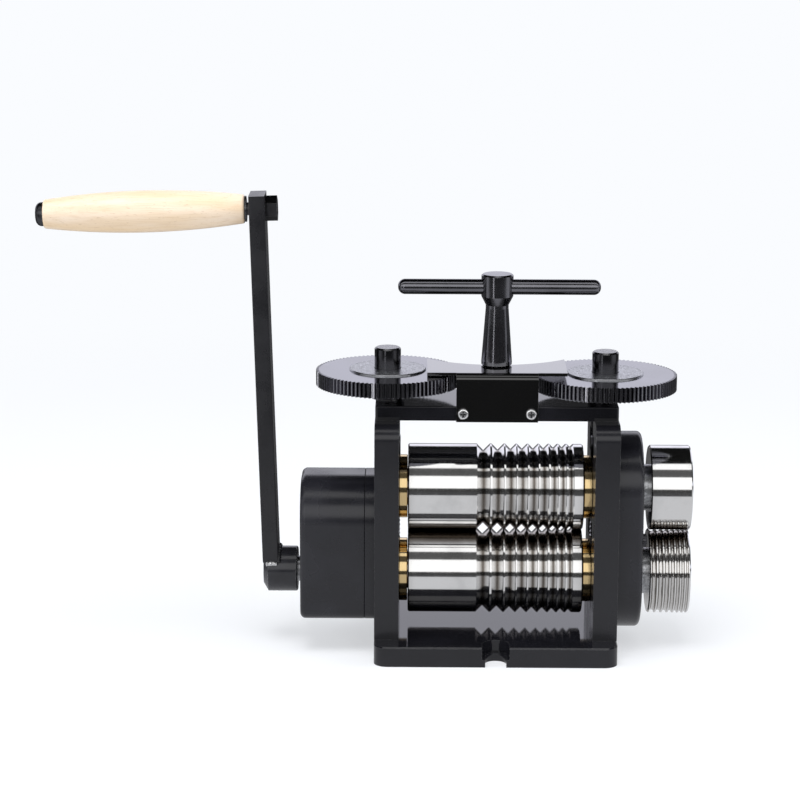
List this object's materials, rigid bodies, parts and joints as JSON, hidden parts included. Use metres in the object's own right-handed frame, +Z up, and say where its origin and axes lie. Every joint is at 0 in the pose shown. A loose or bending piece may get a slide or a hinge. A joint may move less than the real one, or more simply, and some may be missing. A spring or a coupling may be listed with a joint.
{
  "type": "jewellers rolling mill",
  "caption": "Bench rolling mill with smooth and wire grooved steel rolls, geared crank, and a T handle that sets the roll gap through toothed wheels.",
  "frame": {"origin": "centre of the base plate's underside, on the bench", "axes": "+X along the rolls away from the crank, +Y through the mill away from the operator, +Z up"},
  "size_m": [0.4075, 0.118, 0.2855],
  "materials": {
    "black_enamel": "gloss black enamel, mirror-like on the flat faces",
    "black_casing": "satin black enamel",
    "blackened_steel": "oil blackened",
    "roll_steel": "hardened, ground and polished",
    "bronze": "turned bronze",
    "gear_steel": "machined, oiled",
    "spring_wire": "drawn wire",
    "bright_metal": "bright, lightly brushed",
    "beech": "smooth varnished beech"
  },
  "bodies": {
    "frame": {"base_plate": "black_enamel", "base_screws": "blackened_steel", "beam_screws": "blackened_steel", "left_side_plate": "black_enamel", "right_side_plate": "black_enamel", "top_beam": "black_enamel", "thrust_collars": "blackened_steel", "left_lower_block": "blackened_steel", "right_lower_block": "blackened_steel", "left_lower_bush": "bronze", "right_lower_bush": "bronze", "lift_springs": "spring_wire", "cover_bracket": "black_enamel", "cover_screws": "bright_metal", "gear_cover": "black_casing", "gear_cover_screws": "blackened_steel", "gearbox_back_plate": "black_casing", "gearbox_housing": "black_casing", "gearbox_screws": "blackened_steel", "crank_bush": "bronze", "layshaft_bushes": "bronze"},
    "carriage": {"left_upper_block": "blackened_steel", "right_upper_block": "blackened_steel", "left_upper_bush": "bronze", "right_upper_bush": "bronze", "thrust_pads": "blackened_steel"},
    "upper_roll": {"upper_roll": "roll_steel", "upper_roll_key": "blackened_steel", "upper_sync_gear": "gear_steel", "upper_extension_roll": "roll_steel", "upper_end_cap": "roll_steel"},
    "lower_roll": {"lower_roll": "roll_steel", "lower_roll_keys": "blackened_steel", "lower_sync_gear": "gear_steel", "lower_extension_roll": "roll_steel", "lower_end_cap": "roll_steel", "roll_gear": "gear_steel"},
    "layshaft": {"layshaft": "gear_steel", "layshaft_gear": "gear_steel", "layshaft_pinion": "gear_steel"},
    "crank": {"crank_shaft": "gear_steel", "crank_pinion": "gear_steel", "crank_sleeve": "black_casing", "crank_arm": "black_casing", "handle_washer": "bright_metal", "handle_bolt": "blackened_steel", "handle_nut": "blackened_steel"},
    "grip": {"wood_grip": "beech"},
    "t_handle": {"handle_post": "black_enamel", "handle_bar": "black_enamel", "handle_pinion": "black_enamel"},
    "left_wheel": {"left_wheel": "black_enamel", "left_dial_plate": "bright_metal", "left_drive_key": "blackened_steel"},
    "right_wheel": {"right_wheel": "black_enamel", "right_dial_plate": "bright_metal", "right_drive_key": "blackened_steel"},
    "left_screw": {"left_pressing_screw": "blackened_steel"},
    "right_screw": {"right_pressing_screw": "blackened_steel"}
  },
  "joints": [
    {"name": "crank_turn", "type": "hinge", "parent": "frame", "child": "crank", "pos_m": [-0.13, 0, 0.0457], "axis": [1, 0, 0], "continuous": true},
    {"name": "layshaft_turn", "type": "hinge", "parent": "frame", "child": "layshaft", "pos_m": [-0.1, 0, 0.07945], "axis": [1, 0, 0], "continuous": true},
    {"name": "lower_roll_turn", "type": "hinge", "parent": "frame", "child": "lower_roll", "pos_m": [0, 0, 0.0457], "axis": [1, 0, 0], "continuous": true},
    {"name": "upper_roll_turn", "type": "hinge", "parent": "carriage", "child": "upper_roll", "pos_m": [0, 0, 0.0997], "axis": [1, 0, 0], "continuous": true},
    {"name": "grip_spin", "type": "hinge", "parent": "crank", "child": "grip", "pos_m": [-0.20736, 0, 0.2727], "axis": [0.9995, 0, 0.0314], "continuous": true},
    {"name": "t_handle_turn", "type": "hinge", "parent": "frame", "child": "t_handle", "pos_m": [0, 0, 0.2], "axis": [0, 0, 1], "range_deg": [-1318, 0]},
    {"name": "left_wheel_turn", "type": "hinge", "parent": "frame", "child": "left_wheel", "pos_m": [-0.0675, 0, 0.168], "axis": [0, 0, 1], "range_deg": [0, 720]},
    {"name": "right_wheel_turn", "type": "hinge", "parent": "frame", "child": "right_wheel", "pos_m": [0.0675, 0, 0.168], "axis": [0, 0, 1], "range_deg": [0, 720]},
    {"name": "roll_gap_slide", "type": "slide", "parent": "frame", "child": "carriage", "axis": [0, 0, 1], "range_m": [0, 0.004], "deforming": ["lift_springs"]},
    {"name": "left_screw_turn", "type": "hinge", "parent": "carriage", "child": "left_screw", "pos_m": [-0.0675, 0, 0.15], "axis": [0, 0, 1], "range_deg": [0, 720]},
    {"name": "right_screw_turn", "type": "hinge", "parent": "carriage", "child": "right_screw", "pos_m": [0.0675, 0, 0.15], "axis": [0, 0, 1], "range_deg": [0, 720]}
  ],
  "couplings": [
    {"joint": "layshaft_turn", "follows": "crank_turn", "ratio": -0.45161},
    {"joint": "lower_roll_turn", "follows": "crank_turn", "ratio": 0.39516},
    {"joint": "upper_roll_turn", "follows": "crank_turn", "ratio": -0.39516},
    {"joint": "left_wheel_turn", "follows": "roll_gap_slide", "rad_per_m": 3141.6},
    {"joint": "right_wheel_turn", "follows": "roll_gap_slide", "rad_per_m": 3141.6},
    {"joint": "left_screw_turn", "follows": "roll_gap_slide", "rad_per_m": 3141.6},
    {"joint": "right_screw_turn", "follows": "roll_gap_slide", "rad_per_m": 3141.6},
    {"joint": "t_handle_turn", "follows": "roll_gap_slide", "rad_per_m": -5749.7}
  ]
}
